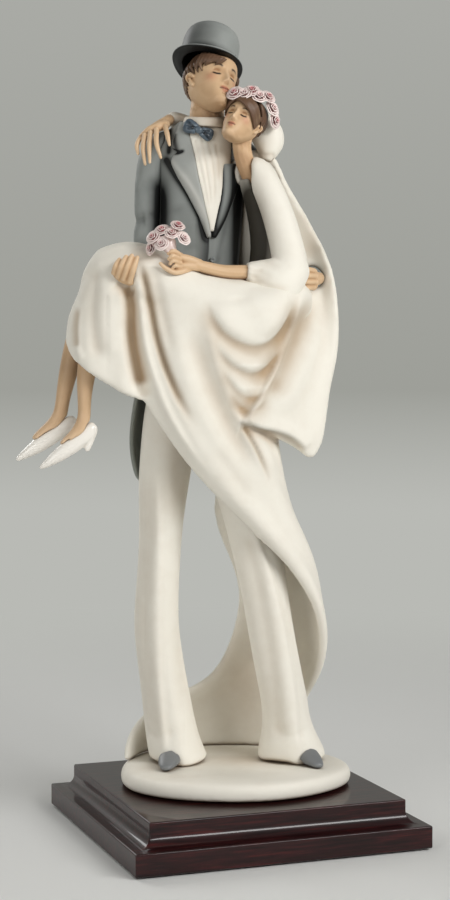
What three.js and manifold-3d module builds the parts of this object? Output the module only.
// A bride and groom figurine in cast bisque, on a square mahogany plinth.
// Millimetres, +Z up. The origin is the centre of the underside, and the plinth's front faces -Y.
// The couple are laid out in their own frame: X to the right, Y away from the onlooker, and Z up from
// the top of the ground mound. That frame is turned on the plinth by COUPLE_TURN.
import * as THREE from "three";
import { mergeVertices } from "three/addons/utils/BufferGeometryUtils.js";
import Module from "manifold-3d";

const wasm = await Module();
wasm.setup();

// Driving sizes
const FELT_THICKNESS = 1;
const FELT_INSET = 5;
const PLINTH_SIDE = 140;
const PLINTH_LOWER_HEIGHT = 10.2;
const PLINTH_UPPER_HEIGHT = 5;
const PLINTH_COVE_HEIGHT = 5.8;
const PLINTH_COVE_DEPTH = 5.6;
const PLINTH_LEDGE = 3.5;
const PLINTH_EDGE_BREAK = 0.6;
const SCREW_SPACING = 56;
const SCREW_SHANK_RADIUS = 2;
const SCREW_HEAD_RADIUS = 3.8;
const SCREW_HEAD_HEIGHT = 2.6;
const SCREW_BITE = 5;
const WASHER_RADIUS = 5;
const WASHER_THICKNESS = 1;
const COUNTERBORE_DEPTH = 6;
const MOUND_THICKNESS = 9;
const MOUND_HALF_WIDTH = 54.5;
const MOUND_HALF_DEPTH = 48;
const MOUND_EDGE_ROUNDING = 3.4;
const MOUND_FOOT_INSET = 1.6;
const MOUND_WAVES = [0.018, 0.012];
const COUPLE_HEIGHT = 345.6;
const COUPLE_TURN = -20.2;
const CLOTH_RIM_SHARE = 0.55;
const DRESS_WALL = 3.2;
const SKIRT_WALL = 2.6;
const TAIL_WALL = 2.4;
const LAPEL_THICKNESS = 2.4;
const SHIRT_THICKNESS = 1.6;
const COLLAR_THICKNESS = 1.4;
const FINGER_RADIUS = 1.15;
const SLIM_FINGER_RADIUS = 0.95;
const GROOM_HEAD_HEIGHT = 32.5;
const BRIDE_HEAD_HEIGHT = 25;
const HAT_CROWN_RADIUS = 13;
const HAT_CROWN_HEIGHT = 18.6;
const HAT_BRIM_WIDTH = 4.6;
const HAT_BRIM_THICKNESS = 1.3;
const HAT_BRIM_CURL = 2.6;
const HAT_BRIM_DIP = 0.55;
const HAT_BRIM_PINCH = 0.06;
const HAT_OVAL = 1.04;
const HAT_FOOT_SHARE = 0.975;
const HAT_BAND_WIDTH = 3;
const HAT_BAND_THICKNESS = 0.5;
const HAT_BAND_LIFT = 0.3;
const BOW_WING_LENGTH = 6.6;
const BOW_WING_HALF_HEIGHT = 3;
const BOW_KNOT_RADIUS = 1.7;
const BUTTON_RADIUS = 1.4;
const BUTTON_THICKNESS = 1.8;
const ROSE_RADIUS = 3;
const ROSE_HEIGHT = 4;
const BOUQUET_ROSE_RADIUS = 2.5;
const BRIDE_HEEL_HEIGHT = 9;
const CLEARANCE = 0.35;

const COLOURS = {
  mahogany: { color: 0x3a1416, roughness: 0.18 },
  felt: { color: 0x2c3a2e, roughness: 0.95 },
  steel: { color: 0x9a9a9a, roughness: 0.35, metalness: 0.9 },
  bisque: { color: 0xe9e4da, roughness: 0.6 },
  skin: { color: 0xcfa67f, roughness: 0.55 },
  grey_cloth: { color: 0x7d807d, roughness: 0.7 },
  dark_grey: { color: 0x4c5052, roughness: 0.5 },
  blue_grey: { color: 0x55657a, roughness: 0.35 },
  brown_hair: { color: 0x6b503f, roughness: 0.6 },
  rose: { color: 0xeec9c9, roughness: 0.4 },
  pearl: { color: 0xf1ece2, roughness: 0.2 },
};

// Curves and sections

// The point at a place along rows of numbers, on a smooth curve through them all.
function between(rows, at) {
  const i = Math.max(0, Math.min(Math.floor(at), rows.length - 2));
  const t = at - i;
  const row = (k) => rows[Math.max(0, Math.min(rows.length - 1, k))];
  const [a, b, c, d] = [row(i - 1), row(i), row(i + 1), row(i + 2)];
  return b.map((_, n) => {
    const before = (c[n] - a[n]) / 2;
    const after = (d[n] - b[n]) / 2;
    const t2 = t * t;
    const t3 = t2 * t;
    return (
      (2 * t3 - 3 * t2 + 1) * b[n] +
      (t3 - 2 * t2 + t) * before +
      (3 * t2 - 2 * t3) * c[n] +
      (t3 - t2) * after
    );
  });
}

function spread(rows, steps) {
  return Array.from({ length: steps + 1 }, (_, i) =>
    between(rows, (i / steps) * (rows.length - 1)),
  );
}

// A closed body from a stack of rings with equal counts of points, closed by a fan at each end.
function loftRings(rings) {
  const count = rings[0].length;
  const positions = [];
  const index = [];
  rings.forEach((ring) => ring.forEach((p) => positions.push(p.x, p.y, p.z)));
  for (let r = 0; r < rings.length - 1; r++)
    for (let i = 0; i < count; i++) {
      const j = (i + 1) % count;
      const a = r * count + i;
      const b = r * count + j;
      index.push(a, b, b + count, a, b + count, a + count);
    }
  [0, rings.length - 1].forEach((r) => {
    const centre = rings[r]
      .reduce((sum, p) => sum.add(p), new THREE.Vector3())
      .divideScalar(count);
    const hub = positions.length / 3;
    positions.push(centre.x, centre.y, centre.z);
    for (let i = 0; i < count; i++) {
      const j = (i + 1) % count;
      const a = r * count + i;
      const b = r * count + j;
      index.push(...(r ? [a, b, hub] : [b, a, hub]));
    }
  });
  const geometry = new THREE.BufferGeometry();
  geometry.setAttribute(
    "position",
    new THREE.Float32BufferAttribute(positions, 3),
  );
  geometry.setIndex(index);
  return geometry;
}

// A solid for joining and cutting, from a closed geometry facing either way.
function solid(geometry) {
  const bare = geometry.clone();
  bare.deleteAttribute("normal");
  bare.deleteAttribute("uv");
  const merged = mergeVertices(bare, 1e-4);
  const vertProperties = new Float32Array(merged.attributes.position.array);
  const triVerts = new Uint32Array(merged.index.array);
  const build = () =>
    new wasm.Manifold(
      new wasm.Mesh({ numProp: 3, vertProperties, triVerts }),
    );
  const first = build();
  if (first.volume() >= 0) return first;
  for (let i = 0; i < triVerts.length; i += 3)
    [triVerts[i + 1], triVerts[i + 2]] = [triVerts[i + 2], triVerts[i + 1]];
  return build();
}

// A body standing on level rings. Each row is z, centre x, centre y, half width, half depth and a turn in
// degrees. swell(angle, share) is a factor on the radius, and share runs from 0 at the first row to 1.
function standing(rows, { sides = 20, steps, grow = 0, swell = () => 1 }) {
  const sections = spread(rows, steps);
  return solid(
    loftRings(
      sections.map(([z, cx, cy, w, d, turn = 0], k) => {
        const end = k === 0 ? Math.sign(sections[0][0] - sections[1][0]) : 0;
        const last =
          k === steps
            ? Math.sign(sections[steps][0] - sections[steps - 1][0])
            : 0;
        const lift = (end + last) * grow;
        const a = THREE.MathUtils.degToRad(turn);
        return Array.from({ length: sides }, (_, i) => {
          const angle = (i / sides) * 2 * Math.PI;
          const f = swell(angle, k / steps);
          const x = (w * f + grow) * Math.cos(angle);
          const y = (d * f + grow) * Math.sin(angle);
          return new THREE.Vector3(
            cx + x * Math.cos(a) - y * Math.sin(a),
            cy + x * Math.sin(a) + y * Math.cos(a),
            z + lift,
          );
        });
      }),
    ),
  );
}

// A body along a path. Each row is x, y, z, half width and half thickness, and the thickness lies in the
// direction "towards". Each end is a dome or a flat face.
function limb(
  rows,
  {
    sides = 10,
    steps = rows.length - 1,
    grow = 0,
    towards = [0, 1, 0],
    domed = [true, true],
  } = {},
) {
  const sections = spread(rows, steps);
  const centre = (s) => new THREE.Vector3(s[0], s[1], s[2]);
  const rings = [];
  const DOME_ANGLE = 1;
  const ring = (c, across, over, w, d) =>
    Array.from({ length: sides }, (_, i) => {
      const angle = (i / sides) * 2 * Math.PI;
      return c
        .clone()
        .addScaledVector(across, w * Math.cos(angle))
        .addScaledVector(over, d * Math.sin(angle));
    });
  sections.forEach((s, k) => {
    const before = centre(sections[Math.max(0, k - 1)]);
    const after = centre(sections[Math.min(steps, k + 1)]);
    const along = after.sub(before).normalize();
    const over = new THREE.Vector3(...towards);
    over.addScaledVector(along, -over.dot(along)).normalize();
    const across = new THREE.Vector3().crossVectors(along, over);
    const [w, d] = [s[3] + grow, s[4] + grow];
    const dome = (sign) => {
      const out = sign * Math.sin(DOME_ANGLE) * Math.min(w, d);
      const c = centre(s).addScaledVector(along, out);
      const f = Math.cos(DOME_ANGLE);
      rings.push(ring(c, across, over, w * f, d * f));
    };
    const first = k === 0;
    const last = k === steps;
    let shift = 0;
    if (first && !domed[0]) shift = -grow;
    if (last && !domed[1]) shift = grow;
    if (first && domed[0]) dome(-1);
    rings.push(ring(centre(s).addScaledVector(along, shift), across, over, w, d));
    if (last && domed[1]) dome(1);
  });
  return solid(loftRings(rings));
}

// A closed smooth ring through plan points at one height. The points run clockwise, seen from above.
function closedRing(points, z, count, grow) {
  const curve = new THREE.CatmullRomCurve3(
    points.map(([x, y]) => new THREE.Vector3(x, y, z)),
    true,
  );
  const ring = Array.from({ length: count }, (_, i) =>
    curve.getPoint(i / count),
  );
  if (!grow) return ring;
  return ring.map((p, i) => {
    const before = ring[(i + count - 1) % count];
    const after = ring[(i + 1) % count];
    const out = new THREE.Vector3(
      before.y - after.y,
      after.x - before.x,
      0,
    ).normalize();
    return p.clone().addScaledVector(out, grow);
  });
}

// A sheet of cast cloth. Each line is a row of points [x, y, z] across it, and the lines run along it.
function sheet(lines, { across, along, wall, grow = 0, fold = () => 0 }) {
  const flat = lines.map((line) => spread(line, across).flat());
  const grid = spread(flat, along).map((row) =>
    Array.from(
      { length: across + 1 },
      (_, i) => new THREE.Vector3(...row.slice(3 * i, 3 * i + 3)),
    ),
  );
  const at = (r, c) =>
    grid[Math.max(0, Math.min(along, r))][Math.max(0, Math.min(across, c))];
  const front = [];
  const back = [];
  for (let r = 0; r <= along; r++)
    for (let c = 0; c <= across; c++) {
      const u = at(r, c + 1).clone().sub(at(r, c - 1));
      const v = at(r + 1, c).clone().sub(at(r - 1, c));
      const n = u.cross(v).normalize();
      const rim = c === 0 || c === across ? CLOTH_RIM_SHARE : 1;
      const half = (wall / 2) * rim + grow;
      const mid = at(r, c)
        .clone()
        .addScaledVector(n, fold(c / across, r / along));
      const edge = at(r, 1).clone().sub(at(r, 0)).normalize();
      if (c === 0) mid.addScaledVector(edge, -grow);
      if (c === across)
        mid.addScaledVector(
          at(r, across).clone().sub(at(r, across - 1)).normalize(),
          grow,
        );
      front.push(mid.clone().addScaledVector(n, half));
      back.push(mid.clone().addScaledVector(n, -half));
    }
  const positions = [...front, ...back].flatMap((p) => [p.x, p.y, p.z]);
  const shift = front.length;
  const width = across + 1;
  const index = [];
  const quad = (a, b, c, d) => index.push(a, b, c, a, c, d);
  for (let r = 0; r < along; r++)
    for (let c = 0; c < across; c++) {
      const a = r * width + c;
      quad(a, a + 1, a + 1 + width, a + width);
      quad(
        a + shift + width,
        a + shift + width + 1,
        a + shift + 1,
        a + shift,
      );
    }
  for (let c = 0; c < across; c++) {
    const end = along * width + c;
    quad(c + 1, c, c + shift, c + 1 + shift);
    quad(end, end + 1, end + 1 + shift, end + shift);
  }
  for (let r = 0; r < along; r++) {
    const a = r * width;
    const b = r * width + across;
    quad(a, a + width, a + width + shift, a + shift);
    quad(b + width, b, b + shift, b + width + shift);
  }
  const geometry = new THREE.BufferGeometry();
  geometry.setAttribute(
    "position",
    new THREE.Float32BufferAttribute(positions, 3),
  );
  geometry.setIndex(index);
  return solid(geometry);
}

function placed(geometry, matrix) {
  return solid(geometry.clone().applyMatrix4(matrix));
}

function cylinder(radius, from, to, sides = 12) {
  const geometry = new THREE.CylinderGeometry(radius, radius, to - from, sides);
  geometry.rotateX(Math.PI / 2);
  geometry.translate(0, 0, (from + to) / 2);
  return geometry;
}

function largest(shape) {
  return shape
    .decompose()
    .reduce((best, s) => (s.volume() > best.volume() ? s : best));
}

// Frame with its Y axis away from "look" and its Z axis as near "crown" as can be.
function frameOf(position, look, crown) {
  const y = new THREE.Vector3(...look).normalize().negate();
  const z = new THREE.Vector3(...crown);
  z.addScaledVector(y, -z.dot(y)).normalize();
  const x = new THREE.Vector3().crossVectors(y, z);
  return new THREE.Matrix4()
    .makeBasis(x, y, z)
    .setPosition(new THREE.Vector3(...position));
}

// Plinth, felt and fixings, in the part's own frame

const PLINTH_BOTTOM = FELT_THICKNESS;
const LOWER_TOP = PLINTH_BOTTOM + PLINTH_LOWER_HEIGHT;
const COVE_TOP = LOWER_TOP + PLINTH_COVE_HEIGHT;
const PLINTH_TOP = COVE_TOP + PLINTH_UPPER_HEIGHT;
const COUNTERBORE_TOP = PLINTH_BOTTOM + COUNTERBORE_DEPTH;
const SCREW_PLACES = [-SCREW_SPACING / 2, SCREW_SPACING / 2];

// A square moulding is a revolve of four sides, whose corners are mitred.
function plinth() {
  const half = PLINTH_SIDE / 2;
  const cove = half - PLINTH_LEDGE;
  const upper = cove - PLINTH_COVE_DEPTH;
  const profile = [
    [0, PLINTH_BOTTOM],
    [half, PLINTH_BOTTOM],
    [half, LOWER_TOP - PLINTH_EDGE_BREAK],
    [half - PLINTH_EDGE_BREAK, LOWER_TOP],
    [cove, LOWER_TOP],
  ];
  const facets = 7;
  for (let i = 1; i <= facets; i++) {
    const a = (i / facets) * (Math.PI / 2);
    profile.push([
      cove - PLINTH_COVE_DEPTH * Math.sin(a),
      COVE_TOP - PLINTH_COVE_HEIGHT * Math.cos(a),
    ]);
  }
  profile.push(
    [upper, PLINTH_TOP - PLINTH_EDGE_BREAK],
    [upper - PLINTH_EDGE_BREAK, PLINTH_TOP],
    [0, PLINTH_TOP],
  );
  const geometry = new THREE.LatheGeometry(
    profile.map(([r, z]) => new THREE.Vector2(r * Math.SQRT2, z)),
    4,
  );
  geometry.rotateX(Math.PI / 2);
  geometry.rotateZ(Math.PI / 4);
  let body = solid(geometry);
  SCREW_PLACES.forEach((x) => {
    const bore = cylinder(
      WASHER_RADIUS + CLEARANCE,
      PLINTH_BOTTOM - 1,
      COUNTERBORE_TOP,
    ).translate(x, 0, 0);
    const way = cylinder(
      SCREW_SHANK_RADIUS + CLEARANCE,
      0,
      PLINTH_TOP + 1,
    ).translate(x, 0, 0);
    body = body.subtract(solid(bore)).subtract(solid(way));
  });
  return body;
}

function feltSheet() {
  const side = PLINTH_SIDE - 2 * FELT_INSET;
  return solid(
    new THREE.BoxGeometry(side, side, FELT_THICKNESS).translate(
      0,
      0,
      FELT_THICKNESS / 2,
    ),
  );
}

function washer(x) {
  const top = COUNTERBORE_TOP;
  const disc = cylinder(WASHER_RADIUS, top - WASHER_THICKNESS, top);
  const hole = cylinder(SCREW_SHANK_RADIUS + CLEARANCE, 0, top + 1);
  return solid(disc.translate(x, 0, 0)).subtract(
    solid(hole.translate(x, 0, 0)),
  );
}

function screw(x) {
  const seat = COUNTERBORE_TOP - WASHER_THICKNESS;
  const head = cylinder(SCREW_HEAD_RADIUS, seat - SCREW_HEAD_HEIGHT, seat, 6);
  const shank = cylinder(
    SCREW_SHANK_RADIUS,
    seat - 1,
    PLINTH_TOP + SCREW_BITE,
    16,
  );
  return solid(head.translate(x, 0, 0)).add(solid(shank.translate(x, 0, 0)));
}

// The cast mound that the couple stand on, an oval cushion with a rolled edge.
function groundMound() {
  const r = MOUND_EDGE_ROUNDING;
  // height, inset from the oval, and a factor on its size
  const rows = [
    [PLINTH_TOP, MOUND_FOOT_INSET, 0.985],
    [PLINTH_TOP + r * 0.45, 0.35, 1],
    [PLINTH_TOP + MOUND_THICKNESS - r, 0, 1],
    [PLINTH_TOP + MOUND_THICKNESS - r * 0.2, r * 0.5, 1],
    [PLINTH_TOP + MOUND_THICKNESS, r * 1.5, 1],
  ];
  const sides = 30;
  const [three, five] = MOUND_WAVES;
  const rings = rows.map(([z, inset, f]) =>
    Array.from({ length: sides }, (_, i) => {
      const a = (i / sides) * 2 * Math.PI;
      const wave = 1 + three * Math.cos(3 * a + 0.6) + five * Math.cos(5 * a);
      const turned = new THREE.Vector3(
        (MOUND_HALF_WIDTH * wave - inset) * f * Math.cos(a),
        (MOUND_HALF_DEPTH * wave - inset) * f * Math.sin(a),
        z,
      );
      return turned.applyAxisAngle(
        new THREE.Vector3(0, 0, 1),
        THREE.MathUtils.degToRad(COUPLE_TURN),
      );
    }),
  );
  let body = solid(loftRings(rings));
  SCREW_PLACES.forEach((x) => {
    const pilot = cylinder(
      SCREW_SHANK_RADIUS + CLEARANCE / 2,
      0,
      PLINTH_TOP + SCREW_BITE + CLEARANCE,
      16,
    );
    body = body.subtract(solid(pilot.translate(x, 0, 0)));
  });
  return body;
}

// The groom

// z, centre x, centre y, half width, half depth
const RIGHT_LEG = [
  [CLEARANCE, -25.3, 4, 14, 15],
  [3, -26, 4, 13.7, 14.5],
  [9, -28.4, 4, 12.5, 13],
  [21, -30.4, 4, 11.9, 12],
  [39, -32.8, 3, 10.9, 11],
  [53, -35, 2, 10.6, 10.5],
  [67, -36.6, 1, 10.4, 10],
  [84, -35.4, -1, 9.7, 10],
  [105, -33.9, 0, 9.5, 10.5],
  [119, -33.8, 1, 10.4, 11.5],
  [134, -32.3, 3, 12.2, 12.5],
  [152, -30.3, 4, 12.8, 13],
  [172, -27.5, 5, 13.6, 13],
];
const LEFT_LEG = [
  [CLEARANCE, 28, 7, 17, 15],
  [5, 27.9, 7, 16.2, 14.2],
  [11, 26.2, 6, 12.8, 13],
  [21, 25.3, 5, 10.6, 12],
  [30, 24, 4, 10.6, 11.5],
  [39, 22.2, 3, 10.8, 11],
  [53, 19.5, 2, 11, 10.5],
  [67, 16.9, 1, 10.2, 10.5],
  [86, 14, 0, 11, 11],
  [100, 11.5, 2, 12, 11.5],
  [119, 7, 4, 12, 12],
  [134, 2, 5, 12.6, 12.5],
  [149, -4, 6, 13.5, 13],
  [172, -9, 6, 13.5, 13],
];

// The pressed crease down the front of a trouser leg, and a softer one behind.
function creased(angle) {
  const front = Math.pow(Math.max(0, -Math.sin(angle - 0.25)), 14);
  const behind = Math.pow(Math.max(0, Math.sin(angle - 0.25)), 14);
  return 1 + 0.1 * front + 0.06 * behind;
}

const trouserLeg = (rows) => (grow) =>
  standing(rows, { sides: 14, steps: 10, grow, swell: creased });

// heel, instep and toe, each x, y, z, half width, half height
const shoe = (rows) => (grow) =>
  limb(rows, { sides: 10, grow, towards: [0, 0, 1] });

const RIGHT_SHOE = [
  [-27, 6, 4.2, 5, 3.6],
  [-28.5, -6, 4.6, 5.6, 4],
  [-30, -14, 3.6, 5.2, 3],
  [-31, -20, 2, 3, 1.6],
];
const LEFT_SHOE = [
  [31, 8, 4.2, 5, 3.6],
  [34, -3, 4.6, 5.4, 4],
  [37, -10, 3.4, 4.8, 2.8],
  [39.5, -15, 2, 2.8, 1.6],
];

// The coat's body from the waist seam up to the neck
const CHEST = [
  [165, -18.5, 5, 20.5, 13, 12],
  [195, -18, 5, 20, 13.5, 12],
  [215, -17, 6, 18.8, 13, 12],
  [235, -16, 6, 18.8, 13, 12],
  [255, -15, 7, 19.6, 13.6, 12],
  [273, -14, 7, 20, 13.6, 12],
  [284, -13.8, 7, 22.5, 12.6, 12],
  [291, -13.8, 7, 21.5, 11.4, 12],
  [297, -13.4, 6.5, 16, 10, 12],
  [301, -13, 6, 10.5, 9.2, 12],
];
const coatBody = (grow) => standing(CHEST, { sides: 14, steps: 7, grow });

// How near the onlooker the chest comes at a place across it.
function chestFront(x, z) {
  const k = CHEST.findIndex((row) => row[0] > z);
  const low = CHEST[k - 1];
  const high = CHEST[k];
  const t = (z - low[0]) / (high[0] - low[0]);
  const [, cx, cy, w, d, turn] = low.map((v, i) => v + (high[i] - v) * t);
  const a = THREE.MathUtils.degToRad(turn);
  const looks = 120;
  const near = 0.6;
  let front = cy;
  for (let i = 0; i < looks; i++) {
    const angle = Math.PI + (i / looks) * Math.PI;
    const px = w * Math.cos(angle);
    const py = d * Math.sin(angle);
    if (Math.abs(cx + px * Math.cos(a) - py * Math.sin(a) - x) < near)
      front = Math.min(front, cy + px * Math.sin(a) + py * Math.cos(a));
  }
  return front;
}

// A layer laid on the chest. Each row is z and the places across that it runs from and to.
const onChest = (rows, { across, along, wall, proud }) => (grow) =>
  sheet(
    rows.map(([z, from, to]) =>
      Array.from({ length: 4 }, (_, i) => {
        const x = from + ((to - from) * i) / 3;
        return [x, chestFront(x, z) - proud, z];
      }),
    ),
    { across, along, wall, grow },
  );

const RIGHT_LAPEL = [
  [299, -24, -21.5],
  [293, -27, -20.3],
  [287.5, -28.4, -19],
  [284.5, -25, -18.2],
  [282.5, -29.3, -17.8],
  [272, -24.5, -15.8],
  [259, -17, -12.8],
  [246, -11.6, -10.4],
];
const LEFT_LAPEL = [
  [280, -4.4, 4.4],
  [274, -4.8, 3.4],
  [266, -5.2, 0.6],
  [256, -7.4, -2.6],
  [246, -9.6, -8],
];
const SHIRT = [
  [300, -19, -4],
  [292, -20, -1],
  [280, -18, -1.5],
  [268, -15, -3],
  [256, -12.2, -6],
  [249, -10.8, -9],
];

const shirtCollar = (grow) =>
  standing(
    [
      [297.5, -12.6, 3, 10.2 + COLLAR_THICKNESS, 9 + COLLAR_THICKNESS, 12],
      [300, -12.4, 3, 9.8 + COLLAR_THICKNESS, 8.6 + COLLAR_THICKNESS, 12],
      [303, -12.2, 3, 9 + COLLAR_THICKNESS, 8 + COLLAR_THICKNESS, 12],
    ],
    { sides: 16, steps: 2, grow },
  );

// A tail of the coat: a curved panel from the hip to the back seam.
const coatTail = (lines) => (grow) =>
  sheet(lines, { across: 5, along: 6, wall: TAIL_WALL, grow });
const RIGHT_TAIL = [
  [[-38, 0, 202], [-38.5, 12, 203], [-29, 20.5, 204], [-18.2, 21.5, 205]],
  [[-42, 3, 188], [-41, 14, 188], [-31, 22, 188], [-18.4, 23, 188]],
  [[-46, 5, 170], [-44, 16, 170], [-33, 23, 170], [-18.8, 24, 170]],
  [[-48.5, 7, 154], [-46, 17, 152], [-35, 23.5, 151], [-21, 24.5, 152]],
  [[-47.5, 9, 142], [-45, 17, 139], [-36, 22.5, 138], [-26, 23.5, 140]],
  [[-45.5, 11, 134], [-43, 16, 131], [-37, 20, 130], [-31, 21, 132]],
];
const LEFT_TAIL = [
  [[2, 6, 202], [1.5, 14, 203], [-6, 20.5, 204], [-16.2, 21.5, 205]],
  [[5, 10, 188], [3, 18, 188], [-5, 23, 188], [-16.2, 23.4, 188]],
  [[7, 13, 170], [5, 21, 170], [-4, 25, 170], [-16.2, 24.8, 170]],
  [[8, 15, 152], [6, 22, 152], [-3, 26, 151], [-14, 26, 152]],
  [[5, 17, 140], [3, 22, 139], [-4, 25.5, 138], [-10, 25.5, 140]],
  [[2, 18, 133], [0, 21, 131], [-4, 23, 130], [-7, 23.5, 132]],
];

const RIGHT_SLEEVE = [
  [-32.5, 7, 290, 7, 7],
  [-38.4, 6.5, 283, 7.2, 8],
  [-39.8, 6.5, 270, 6.2, 7.2],
  [-40.4, 7, 252, 5.8, 6.6],
  [-41, 7, 236, 6, 6.4],
  [-42.5, 2, 222, 6, 6],
  [-44.5, -10, 213, 5, 5],
  [-47, -22, 211, 4.2, 4.2],
];
const LEFT_SLEEVE = [
  [2, 10, 288, 7.5, 7.5],
  [10, 14, 280, 7, 7],
  [20, 17, 262, 6.4, 6.4],
  [29, 19, 243, 6, 6],
  [35, 16, 232, 5.6, 5.6],
  [37, 7.5, 228.4, 5, 5],
  [37.6, 0.5, 227, 4.8, 4.8],
];
const sleeve = (rows) => (grow) =>
  limb(rows, { sides: 8, steps: rows.length, grow, domed: [true, false] });

// A hand: a palm from the wrist to the knuckles, and a finger from each knuckle to its tip.
const hand = ({ wrist, wristSize, knuckles, tips, arch, finger, thumb }) =>
  (grow) => {
    const mid = knuckles
      .reduce((sum, k) => sum.map((v, i) => v + k[i]), [0, 0, 0])
      .map((v) => v / knuckles.length);
    const first = new THREE.Vector3(...knuckles[0]);
    const breadth = first.distanceTo(new THREE.Vector3(...knuckles.at(-1)));
    const side = first.sub(new THREE.Vector3(...knuckles.at(-1))).normalize();
    const along = new THREE.Vector3(...mid).sub(new THREE.Vector3(...wrist));
    const over = new THREE.Vector3().crossVectors(along, side).normalize();
    const half = wrist.map((v, i) => (v + mid[i]) / 2);
    let made = limb(
      [
        [...wrist, wristSize, wristSize * 0.85],
        [...half, breadth / 2 + finger * 0.7, finger * 1.5],
        [...mid, breadth / 2 + finger * 0.6, finger * 1.1],
      ],
      { sides: 8, steps: 2, grow, towards: over.toArray() },
    );
    knuckles.forEach((knuckle, i) => {
      const bend = knuckle.map(
        (v, n) => (v * 0.5 + tips[i][n] * 0.5) + arch[n],
      );
      made = made.add(
        limb(
          [
            [...knuckle, finger, finger],
            [...bend, finger * 0.95, finger * 0.95],
            [...tips[i], finger * 0.7, finger * 0.7],
          ],
          {
            sides: 5,
            steps: 2,
            grow,
            towards: over.toArray(),
            domed: [false, true],
          },
        ),
      );
    });
    if (thumb)
      made = made.add(
        limb(
          thumb.map((p, i) => [
            ...p,
            finger * (1.2 - 0.2 * i),
            finger * (1.2 - 0.2 * i),
          ]),
          { sides: 5, steps: 2, grow, towards: over.toArray() },
        ),
      );
    return made;
  };

const groomRightHand = hand({
  wrist: [-46.2, -28, 220.6],
  wristSize: 3.2,
  knuckles: [
    [-52.8, -33.8, 229.6],
    [-50.4, -35, 228.2],
    [-47.6, -35.2, 227.2],
    [-44.8, -34.8, 227],
  ],
  tips: [
    [-51.4, -34.4, 234.4],
    [-48.4, -35, 235.4],
    [-45.6, -35.2, 236],
    [-43.2, -35, 235.4],
  ],
  arch: [-0.2, -1.5, 0],
  finger: FINGER_RADIUS,
});
const groomLeftHand = hand({
  wrist: [37.4, -2.4, 227.2],
  wristSize: 3.2,
  knuckles: [
    [37.2, -6.4, 231.2],
    [37.6, -7, 228.8],
    [37.4, -7, 226.4],
    [36.6, -6.4, 224],
  ],
  tips: [
    [31, -10.4, 229.2],
    [29.8, -11, 227],
    [29.4, -10.8, 224.8],
    [30, -10, 222.8],
  ],
  arch: [0.6, -1.4, 0.2],
  finger: FINGER_RADIUS,
});

// The bride's hands

const brideRightHand = hand({
  wrist: [-30.5, 9, 302],
  wristSize: 2.6,
  knuckles: [
    [-28.6, -0.6, 297],
    [-32.4, -1.8, 297.6],
    [-36.4, -1.6, 296.4],
    [-40, 0.2, 293.6],
  ],
  tips: [
    [-29, -7, 288.2],
    [-34.2, -7.6, 282.6],
    [-39.6, -6.4, 279.2],
    [-43, -4.2, 284.4],
  ],
  arch: [-0.4, -1.8, 1.4],
  finger: SLIM_FINGER_RADIUS,
});
const brideLeftHand = (grow) =>
  limb(
    [
      [7.4, -21.8, 229.2, 3.6, 3.6],
      [-5, -24.6, 229.3, 3.2, 3.3],
      [-13, -27.5, 230.8, 3.3, 3.1],
      [-18, -30, 232.6, 2.8, 2.4],
    ],
    { sides: 8, steps: 3, grow, domed: [false, true] },
  ).add(
    hand({
      wrist: [-17, -29.6, 232.4],
      wristSize: 2.6,
      knuckles: [
        [-23.4, -33.2, 236],
        [-24, -34, 233.8],
        [-23.6, -34.4, 231.6],
        [-22.6, -34.2, 229.8],
      ],
      tips: [
        [-28.6, -36.8, 238.4],
        [-30.2, -37.4, 235.6],
        [-29.8, -37.6, 233],
        [-33.2, -36.4, 229.8],
      ],
      arch: [0, -1, 0.4],
      finger: SLIM_FINGER_RADIUS,
    })(grow),
  );

// Heads

// Each row is a share of the head's height: z up from the middle, half width, face side and back.
const SKULL = [
  [-0.5, 0.05, -0.34, -0.2],
  [-0.47, 0.13, -0.395, -0.06],
  [-0.4, 0.2, -0.41, 0.06],
  [-0.3, 0.255, -0.41, 0.2],
  [-0.18, 0.3, -0.395, 0.34],
  [-0.05, 0.325, -0.38, 0.42],
  [0.03, 0.335, -0.372, 0.45],
  [0.12, 0.345, -0.4, 0.47],
  [0.25, 0.33, -0.385, 0.45],
  [0.38, 0.26, -0.3, 0.36],
  [0.47, 0.14, -0.16, 0.22],
  [0.5, 0.04, -0.04, 0.08],
];

function skull(height, frame, grow, scale = 1) {
  const sides = 12;
  const rings = spread(SKULL, 7).map(([z, w, face, nape]) =>
    Array.from({ length: sides }, (_, i) => {
      const a = (i / sides) * 2 * Math.PI;
      const y = (face + nape) / 2;
      const d = (nape - face) / 2;
      return new THREE.Vector3(
        (w * height * scale + grow) * Math.cos(a),
        y * height + (d * height * scale + grow) * Math.sin(a),
        z * (height * scale + 2 * grow),
      ).applyMatrix4(frame);
    }),
  );
  return solid(loftRings(rings));
}

// The nose and ears of a head, as shares of its height.
function features(height, frame, grow) {
  const at = (x, y, z) =>
    new THREE.Vector3(x, y, z).multiplyScalar(height).applyMatrix4(frame);
  const away = new THREE.Vector3(0, 1, 0).transformDirection(frame).toArray();
  const size = (share) => share * height;
  const nose = limb(
    [
      [...at(0, -0.37, 0.04), size(0.022), size(0.03)],
      [...at(0, -0.405, -0.08), size(0.032), size(0.04)],
      [...at(0, -0.425, -0.18), size(0.052), size(0.05)],
    ],
    { sides: 6, grow, towards: away, domed: [false, true] },
  );
  const ears = [-1, 1].map((s) =>
    limb(
      [
        [...at(s * 0.325, 0.06, 0.05), size(0.025), size(0.06)],
        [...at(s * 0.335, 0.05, -0.06), size(0.03), size(0.055)],
        [...at(s * 0.315, 0.03, -0.16), size(0.022), size(0.03)],
      ],
      { sides: 6, grow, towards: away, domed: [false, false] },
    ),
  );
  return nose.add(ears[0]).add(ears[1]);
}

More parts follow.
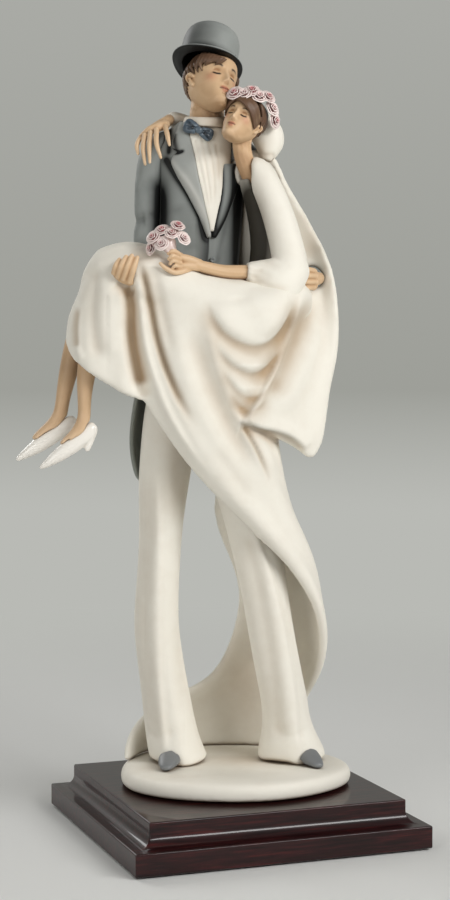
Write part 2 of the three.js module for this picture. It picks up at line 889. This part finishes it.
const GROOM_HEAD_FRAME = frameOf(
  [-9.8, 1, 316.8],
  [0.545, -0.78, 0.31],
  [0.09, 0.43, 0.9],
);
const BRIDE_HEAD_FRAME = frameOf(
  [4, -10.4, 298],
  [-0.25, -0.87, 0.42],
  [0.4, 0.33, 0.85],
);

const groomHead = (grow) =>
  skull(GROOM_HEAD_HEIGHT, GROOM_HEAD_FRAME, grow)
    .add(features(GROOM_HEAD_HEIGHT, GROOM_HEAD_FRAME, grow))
    .add(
      limb(
        [
          [-11.5, 5, 316, 8, 8.5],
          [-12, 4.5, 308, 8.3, 8.5],
          [-12.4, 4, 297, 8.8, 8.6],
        ],
        { sides: 10, steps: 1, grow, domed: [false, false] },
      ),
    );

const brideHead = (grow) =>
  skull(BRIDE_HEAD_HEIGHT, BRIDE_HEAD_FRAME, grow)
    .add(features(BRIDE_HEAD_HEIGHT, BRIDE_HEAD_FRAME, grow))
    .add(
      limb(
        [
          [4.6, -8, 294, 5, 5],
          [4, -8, 287, 4.9, 5],
          [5, -7.6, 280, 5, 5.2],
          [6.4, -7, 273, 6.4, 5.4],
        ],
        { sides: 10, steps: 2, grow, domed: [false, false] },
      ),
    );

// Hair is a cap over the skull, kept off the face by a block in front of it.
function hairCap(height, frame, scale, faceBlock, napeBlock, grow) {
  const cap = skull(height, frame, grow, scale);
  const cut = ([x, y, z, w, d, h, pitch]) =>
    placed(
      new THREE.BoxGeometry(w, d, h)
        .rotateX(THREE.MathUtils.degToRad(pitch))
        .translate(x, y, z)
        .scale(height, height, height),
      frame,
    );
  return cap.subtract(cut(faceBlock)).subtract(cut(napeBlock));
}

const groomHair = (grow) =>
  hairCap(
    GROOM_HEAD_HEIGHT,
    GROOM_HEAD_FRAME,
    1.09,
    [0, -0.52, -0.3, 1.2, 0.8, 1.1, -14],
    [0, 0.1, -0.62, 1.2, 1.4, 0.8, 12],
    grow,
  );
const brideHair = (grow) =>
  hairCap(
    BRIDE_HEAD_HEIGHT,
    BRIDE_HEAD_FRAME,
    1.1,
    [0, -0.56, -0.26, 1.2, 0.9, 1.1, -16],
    [0, 0.1, -0.66, 1.2, 1.4, 0.8, 8],
    grow,
  );

// Top hat: rings from the crown's top, down over the brim and back under it. The brim curls up at the
// sides and dips before and behind.
const HAT_FRAME = frameOf(
  [-11.1, 5.4, 325.8],
  [0.55, -0.66, 0.515],
  [0.03, 0.63, 0.777],
);
function hatRings(grow) {
  const r = HAT_CROWN_RADIUS;
  const h = HAT_CROWN_HEIGHT;
  const brim = r + HAT_BRIM_WIDTH;
  const rows = [
    [h, r * 0.36, 0],
    [h * 0.965, r * 0.66, 0],
    [h * 0.87, r * 0.87, 0],
    [h * 0.7, r * 0.98, 0],
    [h * 0.4, r, 0],
    [HAT_BRIM_THICKNESS, r * 0.96, 0],
    [HAT_BRIM_THICKNESS * 0.8, r * 1.06, 0.05],
    [HAT_BRIM_THICKNESS * 0.7, brim * 0.94, 0.6],
    [HAT_BRIM_THICKNESS * 0.4, brim, 1],
    [-HAT_BRIM_THICKNESS * 0.2, brim * 0.99, 0.95],
    [-HAT_BRIM_THICKNESS * 0.3, brim * 0.9, 0.5],
    [-HAT_BRIM_THICKNESS * 0.2, r * 1.04, 0],
    [0, r * 0.6, 0],
  ];
  const sides = 16;
  const edge = rows.length - 5;
  return rows.map(([z, radius, curl], k) =>
    Array.from({ length: sides }, (_, i) => {
      const a = (i / sides) * 2 * Math.PI;
      const side = Math.pow(Math.cos(a), 2);
      const up = HAT_BRIM_CURL * curl * (side - HAT_BRIM_DIP * (1 - side));
      const lift = k < edge ? grow : -grow;
      return new THREE.Vector3(
        (radius * (1 - HAT_BRIM_PINCH * curl) + grow) * Math.cos(a),
        (radius * HAT_OVAL + grow) * Math.sin(a),
        z + up + lift,
      ).applyMatrix4(HAT_FRAME);
    }),
  );
}
const topHat = (grow) => solid(loftRings(hatRings(grow)));

const hatBand = (grow) => {
  const r = (HAT_CROWN_RADIUS + HAT_BAND_THICKNESS + grow) * HAT_FOOT_SHARE;
  const foot = HAT_BRIM_THICKNESS + CLEARANCE + HAT_BAND_LIFT;
  const sides = 16;
  const rings = [0, 0.5, 1].map((t) =>
    Array.from({ length: sides }, (_, i) => {
      const a = (i / sides) * 2 * Math.PI;
      return new THREE.Vector3(
        r * Math.cos(a),
        r * HAT_OVAL * Math.sin(a),
        foot + HAT_BAND_WIDTH * t,
      ).applyMatrix4(HAT_FRAME);
    }),
  );
  return solid(loftRings(rings));
};

// Bow tie, on the collar below the chin
const BOW_CENTRE = [-15.9, -8.2, 295];
const BOW_SLANT = [0.86, -0.38];
const bowPlace = (out, back) => [
  BOW_CENTRE[0] + out * BOW_SLANT[0],
  BOW_CENTRE[1] + back,
  BOW_CENTRE[2] + out * BOW_SLANT[1],
];
const bowKnot = (grow) =>
  limb(
    [-0.4, 0.4].map((share) => [
      ...bowPlace(BOW_KNOT_RADIUS * share, -0.3),
      BOW_KNOT_RADIUS,
      BOW_KNOT_RADIUS * 0.8,
    ]),
    { sides: 8, grow },
  );

// share of the wing's length, set back, share of its half height, half thickness
const BOW_WING = [
  [0.12, 0.2, 0.45, 0.9],
  [0.5, 0.4, 0.85, 1.3],
  [0.95, 1.4, 1, 1],
];
const bowWing = (sign) => (grow) =>
  limb(
    BOW_WING.map(([share, back, tall, thick]) => [
      ...bowPlace(sign * BOW_WING_LENGTH * share, back),
      BOW_WING_HALF_HEIGHT * tall,
      thick,
    ]),
    { sides: 10, steps: 3, grow },
  );

const BUTTON_PLACE = [-9.4, 235.6];
const BUTTON_TURN = 14;
const coatButton = (grow) => {
  const [x, z] = BUTTON_PLACE;
  return placed(
    new THREE.CylinderGeometry(
      BUTTON_RADIUS + grow,
      BUTTON_RADIUS + grow,
      BUTTON_THICKNESS + 2 * grow,
      16,
    ),
    new THREE.Matrix4()
      .makeRotationZ(THREE.MathUtils.degToRad(BUTTON_TURN))
      .setPosition(x, chestFront(x, z) - BUTTON_THICKNESS / 3, z),
  );
};

// The bride's clothes

const brideBodice = (grow) =>
  limb(
    [
      [10, -8, 212, 11, 9],
      [17, 0, 230, 9, 7.5],
      [18, 2, 250, 9.6, 8],
      [14.5, -1, 266, 10.6, 7.5],
      [10.5, -5, 276, 8.6, 6],
      [7, -8, 280.5, 5.6, 5],
    ],
    { sides: 8, steps: 4, grow },
  );

const brideLeftSleeve = (grow) =>
  limb(
    [
      [10.5, -8, 279.5, 4.5, 5],
      [14.2, -9.5, 272, 6.8, 6.6],
      [19.2, -11.5, 260, 6.8, 7],
      [23.2, -13.5, 247, 7, 7],
      [25.8, -15.5, 236, 7.6, 7.6],
      [26.4, -16.5, 228, 7.2, 7.6],
    ],
    { sides: 10, steps: 5, grow },
  ).add(
    limb(
      [
        [28.4, -16, 229.5, 6.6, 7],
      [23, -17.8, 226.6, 9.2, 8.4],
      [17, -19.4, 226.8, 8.6, 7.8],
      [11, -21, 228.4, 6.4, 6],
        [6, -22.2, 229.2, 4.3, 4.3],
      ],
      { sides: 10, steps: 5, grow, domed: [true, false] },
    ),
  );

const brideRightSleeve = (grow) =>
  limb(
    [
      [4, 2, 276, 6.5, 6],
      [-2, 12, 286, 6, 5.6],
      [-12, 17.5, 295, 5.2, 5],
      [-23, 16.5, 301, 4.4, 4.2],
      [-30, 11.5, 303, 3.6, 3.4],
    ],
    { sides: 10, steps: 5, grow, towards: [0, 0, 1], domed: [true, false] },
  );

// The dress is one casting: the lap over the thighs, the skirt that hangs from the knees,
// the hip, and the long sweep that wraps round the groom's leg and spreads on the mound.

const lap = (grow) =>
  limb(
    [
      [28, -10, 216, 9, 11],
      [14, -17, 212, 14.5, 15],
      [-4, -20, 212.5, 15.5, 14.6],
      [-20, -21, 217, 15, 14.6],
      [-36, -21, 225.5, 14.6, 14.8],
      [-48, -19.5, 231, 13.4, 14],
      [-57, -18, 229, 10.6, 12],
      [-62, -17, 224, 7, 9],
    ],
    { sides: 14, steps: 7, grow, towards: [0, 0, 1] },
  );

const hip = (grow) =>
  limb(
    [
      [-9, -25, 212, 9, 8],
      [0, -25.5, 209, 12, 10],
      [10, -25, 209.5, 13, 11.5],
      [20, -22, 213, 11, 11],
      [29, -15, 219, 7, 8],
    ],
    { sides: 12, steps: 4, grow, towards: [0, 1, 0] },
  );

const KNEE_SKIRT = [
  [240, -53, -18, 7, 8],
  [230, -54, -18, 12.5, 12.5],
  [217, -55.5, -18, 15.4, 14],
  [206, -57, -18.5, 17, 14.6],
  [196, -58, -19, 18.4, 14.8],
  [182, -57.5, -19.5, 19.4, 14.8],
  [165, -56, -20, 20, 14.8],
];

// Soft upright pleats that deepen towards the hem.
const PLEATS = 7;
const PLEAT_DEPTH = 0.05;
function pleated(angle, share) {
  return 1 + PLEAT_DEPTH * share * Math.cos(PLEATS * angle + 1.2);
}

// The hem's middle, and its slopes towards the knees and towards the far side.
const HEM_MIDDLE = [-54.5, -20, 183.5];
const HEM_SLOPES = [-0.62, 0.5];
const HOLLOW_DROP = 4;

function kneeSkirt(grow) {
  const outer = standing(KNEE_SKIRT, {
    sides: 16,
    steps: 4,
    grow,
    swell: pleated,
  });
  const hollow = standing(
    KNEE_SKIRT.slice(2).map(([z, x, y, w, d]) => [
      z - HOLLOW_DROP,
      x,
      y,
      w - SKIRT_WALL,
      d - SKIRT_WALL,
    ]),
    { sides: 12, steps: 2, grow: -grow, swell: pleated },
  );
  const [toKnees, toFarSide] = HEM_SLOPES;
  const x = new THREE.Vector3(1, 0, toKnees).normalize();
  const up = new THREE.Vector3()
    .crossVectors(x, new THREE.Vector3(0, 1, toFarSide))
    .normalize();
  const y = new THREE.Vector3().crossVectors(up, x);
  const hem = new THREE.Matrix4()
    .makeBasis(x, y, up)
    .setPosition(...HEM_MIDDLE);
  const below = new THREE.BoxGeometry(160, 160, 60).translate(0, 0, -30 - grow);
  return outer.subtract(hollow).subtract(placed(below, hem));
}

// Heights, then the plan points from the front hem, round the right side, to the edge behind the leg.
const SWEEP = [
  [214, [-49, -29], [-24, -34], [2, -35], [20, -28], [27, -15], [22, 0]],
  [195, [-48.5, -30], [-26, -35], [-3, -35], [15, -28], [23, -14], [18, 3]],
  [174, [-42, -29.6], [-24, -33], [-6, -31], [9, -25], [16.5, -10], [12, 8]],
  [157, [-31.4, -28], [-18, -30], [-2, -28], [11, -21], [18.5, -6], [10, 15]],
  [140, [-19.8, -25], [-8, -26], [6, -23.5], [17, -15], [20, 2], [0, 22]],
  [126, [-6, -22], [4, -22.5], [14, -19], [22.5, -8], [21, 13], [-12.5, 20]],
  [108, [12.3, -18], [19, -17], [27, -11], [31.5, 1], [24, 21], [-8.5, 21.5]],
  [97.6, [23.7, -14], [28.6, -11], [32.8, -4], [35, 6], [25, 24], [-5.5, 22]],
  [87.8, [31, -10], [34.6, -6.5], [37.4, 1], [37, 11], [24, 26.5], [0.6, 22]],
  [73, [40.4, -4.5], [41.6, 0], [41.6, 8], [37, 18], [22, 28.5], [2.4, 22.5]],
  [57.4, [43.8, 5], [43.2, 10], [40, 18], [33, 25], [17, 31], [-0.8, 24]],
  [41.4, [42.2, 14], [40, 19.5], [35, 25], [25, 31], [9, 33.5], [-7.5, 26]],
  [32, [38, 22], [35, 26], [28, 31], [15, 35.5], [-1, 35], [-16, 28.5]],
  [24, [34.6, 28], [29, 32.5], [18, 37], [2, 38], [-19, 34], [-38, 19]],
  [12, [31, 31], [24, 35.5], [10, 39], [-10, 38.5], [-34, 29], [-50.5, 9.5]],
  [CLEARANCE, [29, 32], [21, 36.5], [5, 40], [-16, 38.5], [-40, 27], [-51, 4]],
];

// Long folds that follow the hem, and fade on the way down and round to the back.
const SWEEP_FOLDS = 3.2;
const SWEEP_FOLD_DEPTH = 1.3;
function sweepFold(s, t) {
  const held = Math.sin(Math.PI * Math.min(1, t * 1.6));
  const wave = Math.sin(2 * Math.PI * (SWEEP_FOLDS * s + 0.15));
  return SWEEP_FOLD_DEPTH * held * wave * (1 - s * 0.4);
}

const sweep = (grow) =>
  sheet(
    SWEEP.map(([z, ...plan]) => plan.map(([x, y]) => [x, y, z])),
    { across: 16, along: 14, wall: DRESS_WALL, grow, fold: sweepFold },
  );

const dress = (grow) =>
  lap(grow).add(hip(grow)).add(kneeSkirt(grow)).add(sweep(grow));

// The veil: a gathered cap over her bun, and a long fall behind her back.
const veilCap = (grow) =>
  limb(
    [
      [12.5, 1, 300, 6, 6],
      [15.6, 2, 295, 8, 7.6],
      [17.2, 1.6, 289.5, 7.4, 7],
      [16, 0.6, 285.2, 4.4, 5],
    ],
    { sides: 12, steps: 3, grow },
  );

// Heights, then plan points: outer edge, scoop, inner front, inside, back left, back, back right.
const VEIL = [
  [287, [17.5, -2], [14.5, -2], [12, -3], [8, 1], [7, 6], [12, 9], [16.5, 5]],
  [280, [20.4, -1], [17, 0], [13, 0], [8, 3], [4, 10], [12, 13.5], [19, 8]],
  [268.6, [27, 1], [23, 3], [17, 4], [8, 6], [0, 15], [13, 18], [24, 12]],
  [252.6, [37.5, 3], [32, 6], [24, 6], [8, 8], [-4, 19], [15, 23], [33, 16]],
  [234, [46.5, 2], [40, 7], [30, 6], [10, 8], [-5, 23], [17, 28], [40, 18]],
  [218, [49, 1], [42, 4], [33, -2], [12, 5], [-5, 26], [18, 30], [43, 18]],
  [203.5, [49.8, -1], [41, 0], [30, -13], [14, -4], [-4, 27], [19, 30.5], [43, 17]],
  [190, [49, -2], [38, -5], [22, -22], [12, -14], [0, 27], [20, 29.5], [42, 15]],
  [178, [45.8, -3], [34, -9], [14.5, -28], [8, -20], [4, 25], [21, 26.5], [39, 12]],
  [166, [44.4, -5], [31, -11], [9.5, -29.5], [6, -24], [10, 20], [21, 21], [37, 8]],
  [159, [43.6, -6], [31, -11], [10, -28], [8, -23], [17, 8], [24, 10], [35, 4]],
  [151, [41.6, -5.6], [36, -9], [29, -11], [27, -7], [30, 0], [34, 1], [39, -1.6]],
  [144.6, [37.4, -6.6], [36.4, -7.4], [35.2, -7.4], [34.6, -6.6], [35, -5.8], [36, -5.6], [37, -6]],
];
const veilFall = (grow) =>
  solid(
    loftRings(
      VEIL.map(([z, ...plan], k) =>
        closedRing(
          plan,
          z + (k === 0 ? grow : 0) - (k === VEIL.length - 1 ? grow : 0),
          14,
          grow,
        ),
      ),
    ),
  );

// Legs and heeled shoes of the bride, hanging from under the skirt
const NEAR_CALF = [
  [-62.5, -21, 205, 5, 5.2],
  [-65.2, -22, 194, 5, 5.2],
  [-67, -22.6, 183, 4.5, 4.8],
  [-67.8, -23, 172, 3, 3.2],
  [-67.6, -23, 164, 2.8, 2.9],
  [-70, -23.2, 157.5, 2.8, 2.9],
  [-77, -23.8, 151, 2.2, 2.4],
];
const FAR_CALF = [
  [-70, -12, 207, 5, 5],
  [-73.4, -12.6, 194, 5, 5.2],
  [-76, -13, 183, 4.4, 4.8],
  [-78.4, -13, 172, 3.2, 3.4],
  [-79.4, -13.2, 165, 3, 3],
  [-83, -13.6, 159.5, 3, 3],
  [-90, -14.2, 154, 2.4, 2.6],
];
const calf = (rows) => (grow) =>
  limb(rows, { sides: 8, steps: 6, grow, domed: [false, true] });

// heel end, arch, ball and toe, then the foot of the heel
const NEAR_SHOE = {
  sole: [
    [-64.6, -22, 158.4, 2.8, 3.6],
    [-69, -22.6, 153.8, 3, 3.4],
    [-75, -23.3, 149.6, 3.7, 4],
    [-81.4, -24, 144.8, 3.2, 3],
    [-87, -24.4, 141, 1.2, 1.1],
  ],
  heel: [-64.2, -22, 157],
  lean: [-0.28, 0, -1],
};
const FAR_SHOE = {
  sole: [
    [-74.6, -12.6, 161, 3, 3.6],
    [-79.4, -13, 157, 3.2, 3.6],
    [-86.4, -13.8, 152.4, 3.9, 4.2],
    [-93.4, -14.5, 147.8, 3.4, 3],
    [-98.8, -15, 144.2, 1.2, 1.1],
  ],
  heel: [-74.2, -12.6, 159.5],
  lean: [-0.28, 0.1, -1],
};
const heeledShoe =
  ({ sole, heel, lean }) =>
  (grow) => {
    const tip = heel.map((v, i) => v + lean[i] * BRIDE_HEEL_HEIGHT);
    return limb(sole, { sides: 8, steps: 4, grow, towards: [0, 0, 1] }).add(
      limb(
        [
          [...heel, 2.2, 2],
          [...tip, 1.2, 1.1],
        ],
        { sides: 6, steps: 1, grow, domed: [false, false] },
      ),
    );
  };

// Roses

// A rose: a cup of petals round a bud, made as rings that wave four times round.
const ROSE_PROFILE = [
  [0, 0.4],
  [0.34, 0.98],
  [0.8, 1],
  [0.74, 0.55],
  [0.96, 0.28],
];
const PETAL_WAVE = 0.09;
const ROSE_MIDDLE = 0.45;
const rose =
  ([x, y, z], facing, radius, height = ROSE_HEIGHT) =>
  (grow) => {
    const turn = new THREE.Quaternion().setFromUnitVectors(
      new THREE.Vector3(0, 0, 1),
      new THREE.Vector3(...facing).normalize(),
    );
    const sides = 8;
    const rings = ROSE_PROFILE.map(([up, out], k) =>
      Array.from({ length: sides }, (_, i) => {
        const a = (i / sides) * 2 * Math.PI;
        const petal = 1 + PETAL_WAVE * Math.cos(4 * a + k * Math.PI);
        const r = radius * out * petal + grow;
        return new THREE.Vector3(
          r * Math.cos(a),
          r * Math.sin(a),
          (up - ROSE_MIDDLE) * (height + 4 * grow),
        )
          .applyQuaternion(turn)
          .add(new THREE.Vector3(x, y, z));
      }),
    );
    return solid(loftRings(rings));
  };

// Each rose of the wreath lies over the bride's hair: its middle in shares of her head's height and its
// facing, both in her head's frame.
const WREATH = [
  [[-0.159, -0.394, 0.323], [-0.23, -0.91, 0.35]],
  [[-0.022, -0.368, 0.354], [-0.01, -0.93, 0.36]],
  [[0.067, -0.307, 0.49], [0, -0.71, 0.7]],
  [[0.208, -0.252, 0.445], [0.38, -0.81, 0.44]],
  [[0.308, -0.167, 0.522], [0.52, -0.66, 0.54]],
  [[0.416, 0.007, 0.422], [0.83, -0.37, 0.43]],
  [[0.48, 0.156, 0.275], [0.96, -0.13, 0.24]],
].map(([place, facing]) => [
  new THREE.Vector3(...place)
    .multiplyScalar(BRIDE_HEAD_HEIGHT)
    .applyMatrix4(BRIDE_HEAD_FRAME)
    .toArray(),
  new THREE.Vector3(...facing).transformDirection(BRIDE_HEAD_FRAME).toArray(),
]);
// The bouquet's roses, each its middle and its facing in the couple's frame.
const BOUQUET = [
  [[-36.6, -33, 239.6], [-0.7, -0.6, 0.2]],
  [[-35.2, -35.6, 244], [-0.4, -0.8, 0.4]],
  [[-31.6, -37.4, 241], [-0.1, -1, 0.2]],
  [[-31.6, -35, 247], [-0.1, -0.5, 0.9]],
  [[-27.4, -36.6, 245.4], [0.1, -0.8, 0.6]],
  [[-25, -35.6, 249], [0.2, -0.4, 0.9]],
  [[-22.4, -36, 243.6], [0.6, -0.7, 0.4]],
  [[-27.6, -32, 247], [0.1, 0.4, 0.9]],
];

// The bouquet's core of leaves and stems, which the roses are set on
const bouquetCore = (grow) =>
  limb(
    [
      [-26.4, -33.6, 236.6, 1.8, 1.8],
      [-28.6, -34, 239.6, 4, 3.4],
      [-29.4, -34, 242.6, 4.6, 3.6],
    ],
    { sides: 6, grow, towards: [0, 1, 0] },
  );

// The list of pieces: name, finish, maker, and the pieces that each one is fitted round.
const PIECES = [
  ["groom_right_hand", "skin", groomRightHand, []],
  ["groom_left_hand", "skin", groomLeftHand, []],
  ["bride_right_hand", "skin", brideRightHand, []],
  ["bride_left_hand", "skin", brideLeftHand, []],
  ["top_hat", "grey_cloth", topHat, []],
  ["hat_band", "dark_grey", hatBand, ["top_hat"]],
  ["bride_head", "skin", brideHead, []],
  ["groom_head", "skin", groomHead, ["top_hat", "bride_head"]],
  ["groom_hair", "brown_hair", groomHair, ["top_hat", "groom_head", "bride_head"]],
  ["veil_cap", "bisque", veilCap, ["bride_head", "groom_head"]],
  [
    "bride_hair",
    "brown_hair",
    brideHair,
    [
      "bride_head", "groom_head", "groom_hair", "top_hat", "veil_cap",
    ],
  ],
  [
    "bride_left_sleeve",
    "bisque",
    brideLeftSleeve,
    [
      "bride_left_hand", "groom_left_hand", "bride_head", "veil_cap",
    ],
  ],
  [
    "dress",
    "bisque",
    dress,
    [
      "ground_mound", "groom_right_hand", "groom_left_hand", "bride_left_hand", "bride_left_sleeve",
    ],
  ],
  ["bride_near_shoe", "pearl", heeledShoe(NEAR_SHOE), []],
  ["bride_far_shoe", "pearl", heeledShoe(FAR_SHOE), ["bride_near_shoe"]],
  ["bride_near_calf", "skin", calf(NEAR_CALF), ["bride_near_shoe", "bride_far_shoe", "dress"]],
  [
    "bride_far_calf",
    "skin",
    calf(FAR_CALF),
    [
      "bride_far_shoe", "bride_near_shoe", "bride_near_calf", "dress",
    ],
  ],
  [
    "bride_right_sleeve",
    "bisque",
    brideRightSleeve,
    [
      "bride_right_hand", "bride_head", "groom_head", "veil_cap", "groom_hair",
    ],
  ],
  [
    "bride_bodice",
    "bisque",
    brideBodice,
    [
      "bride_left_sleeve", "bride_right_sleeve", "dress", "bride_head", "bride_left_hand",
      "groom_left_hand", "groom_head", "veil_cap",
    ],
  ],
  [
    "groom_right_sleeve",
    "grey_cloth",
    sleeve(RIGHT_SLEEVE),
    [
      "groom_right_hand", "bride_right_hand", "dress", "bride_right_sleeve",
    ],
  ],
  [
    "groom_left_sleeve",
    "grey_cloth",
    sleeve(LEFT_SLEEVE),
    [
      "groom_left_hand", "dress", "bride_bodice", "bride_left_sleeve", "bride_right_sleeve",
      "bride_head", "groom_head",
    ],
  ],
  ["shirt_collar", "bisque", shirtCollar, ["groom_head", "bride_head", "bride_right_sleeve"]],
  [
    "tailcoat_body",
    "grey_cloth",
    coatBody,
    [
      "groom_right_sleeve", "groom_left_sleeve", "bride_right_sleeve", "bride_right_hand",
      "bride_left_hand", "bride_bodice", "bride_left_sleeve", "dress", "bride_head", "groom_head",
      "shirt_collar",
    ],
  ],
  [
    "lapel_right",
    "grey_cloth",
    onChest(RIGHT_LAPEL, { across: 3, along: 10, wall: LAPEL_THICKNESS, proud: 0.8 }),
    [
      "tailcoat_body", "shirt_collar", "bride_right_hand", "groom_head",
    ],
  ],
  [
    "lapel_left",
    "grey_cloth",
    onChest(LEFT_LAPEL, { across: 3, along: 5, wall: LAPEL_THICKNESS, proud: 0.8 }),
    [
      "tailcoat_body", "lapel_right", "bride_head", "bride_bodice", "bride_left_sleeve",
      "bride_right_sleeve", "groom_head",
    ],
  ],
  [
    "shirt_front",
    "bisque",
    onChest(SHIRT, { across: 4, along: 5, wall: SHIRT_THICKNESS, proud: 0.4 }),
    [
      "tailcoat_body", "lapel_right", "lapel_left", "shirt_collar", "bride_head", "groom_head",
    ],
  ],
  [
    "bow_tie_knot",
    "blue_grey",
    bowKnot,
    [
      "shirt_collar", "shirt_front", "groom_head", "tailcoat_body",
    ],
  ],
  [
    "bow_tie_right_wing",
    "blue_grey",
    bowWing(-1),
    [
      "bow_tie_knot", "shirt_collar", "shirt_front", "lapel_right", "tailcoat_body", "groom_head",
    ],
  ],
  [
    "bow_tie_left_wing",
    "blue_grey",
    bowWing(1),
    [
      "bow_tie_knot", "bow_tie_right_wing", "shirt_collar", "shirt_front", "lapel_left",
      "lapel_right", "tailcoat_body", "bride_head", "groom_head",
    ],
  ],
  ["coat_button", "dark_grey", coatButton, ["tailcoat_body", "dress", "bride_left_hand"]],
  [
    "veil_fall",
    "bisque",
    veilFall,
    [
      "veil_cap", "bride_left_sleeve", "bride_right_sleeve", "bride_bodice", "dress",
      "groom_left_hand", "groom_left_sleeve", "tailcoat_body", "bride_head", "bride_hair",
      "groom_head",
    ],
  ],
  ["trouser_leg_right", "bisque", trouserLeg(RIGHT_LEG), ["ground_mound", "dress", "tailcoat_body"]],
  [
    "trouser_leg_left",
    "bisque",
    trouserLeg(LEFT_LEG),
    [
      "ground_mound", "dress", "tailcoat_body", "trouser_leg_right", "veil_fall",
    ],
  ],
  [
    "coat_tail_right",
    "grey_cloth",
    coatTail(RIGHT_TAIL),
    [
      "tailcoat_body", "trouser_leg_right", "trouser_leg_left", "dress", "groom_right_sleeve",
    ],
  ],
  [
    "coat_tail_left",
    "grey_cloth",
    coatTail(LEFT_TAIL),
    [
      "tailcoat_body", "coat_tail_right", "trouser_leg_right", "trouser_leg_left", "dress",
      "veil_fall", "bride_bodice",
    ],
  ],
  [
    "groom_right_shoe",
    "dark_grey",
    shoe(RIGHT_SHOE),
    [
      "ground_mound", "trouser_leg_right", "trouser_leg_left",
    ],
  ],
  ["groom_left_shoe", "dark_grey", shoe(LEFT_SHOE), ["ground_mound", "trouser_leg_left", "dress"]],
  ["bouquet_core", "rose", bouquetCore, ["bride_left_hand", "dress"]],
];

const roseName = (set, i) => `${set}_rose_${i + 1}`;
BOUQUET.forEach(([place, facing], i) =>
  PIECES.push([
    roseName("bouquet", i),
    "rose",
    rose(place, facing, BOUQUET_ROSE_RADIUS),
    ["bouquet_core", "bride_left_hand", "dress", "groom_right_hand"].concat(
      BOUQUET.slice(0, i).map((_, k) => roseName("bouquet", k)),
    ),
  ]),
);
WREATH.forEach(([place, facing], i) =>
  PIECES.push([
    roseName("wreath", i),
    "rose",
    rose(place, facing, ROSE_RADIUS),
    ["bride_head", "bride_hair", "veil_cap", "groom_head", "groom_hair", "top_hat"].concat(
      WREATH.slice(0, i).map((_, k) => roseName("wreath", k)),
    ),
  ]),
);

// The mound's top, which whatever stands on it is cut level with
const ground = (grow) =>
  solid(new THREE.BoxGeometry(200, 200, 20).translate(0, 0, grow - 10));

// The casting model is enlarged or reduced as a whole. The stations above are drawn for this height.
const DRAWN_HEIGHT = 345.6;

// Scene

const materials = Object.fromEntries(
  Object.entries(COLOURS).map(([name, look]) => [
    name,
    new THREE.MeshStandardMaterial({ name, ...look }),
  ]),
);

function meshOf(name, finish, shape) {
  const { numProp, vertProperties, triVerts } = shape.getMesh();
  const positions = [];
  for (let i = 0; i < vertProperties.length; i += numProp)
    positions.push(...vertProperties.slice(i, i + 3));
  const geometry = new THREE.BufferGeometry();
  geometry.setAttribute(
    "position",
    new THREE.Float32BufferAttribute(positions, 3),
  );
  geometry.setIndex([...triVerts]);
  geometry.computeVertexNormals();
  const mesh = new THREE.Mesh(geometry, materials[finish]);
  mesh.name = name;
  return mesh;
}

const base = new THREE.Group();
base.add(meshOf("felt_sheet", "felt", feltSheet()));
base.add(meshOf("plinth", "mahogany", plinth()));
SCREW_PLACES.forEach((x, i) => {
  base.add(meshOf(`washer_${i + 1}`, "steel", washer(x)));
  base.add(meshOf(`screw_${i + 1}`, "steel", screw(x)));
});
base.add(meshOf("ground_mound", "bisque", groundMound()));

const couple = new THREE.Group();
couple.position.z = PLINTH_TOP + MOUND_THICKNESS;
couple.rotation.z = THREE.MathUtils.degToRad(COUPLE_TURN);
couple.scale.setScalar(COUPLE_HEIGHT / DRAWN_HEIGHT);
const makers = new Map(PIECES.map(([name, , make]) => [name, make]));
makers.set("ground_mound", ground);
PIECES.forEach(([name, finish, make, around]) => {
  const shape = around.reduce(
    (made, other) => made.subtract(makers.get(other)(CLEARANCE)),
    make(0),
  );
  couple.add(meshOf(name, finish, largest(shape)));
});

const figurine = new THREE.Group();
figurine.add(base, couple);

export default figurine;
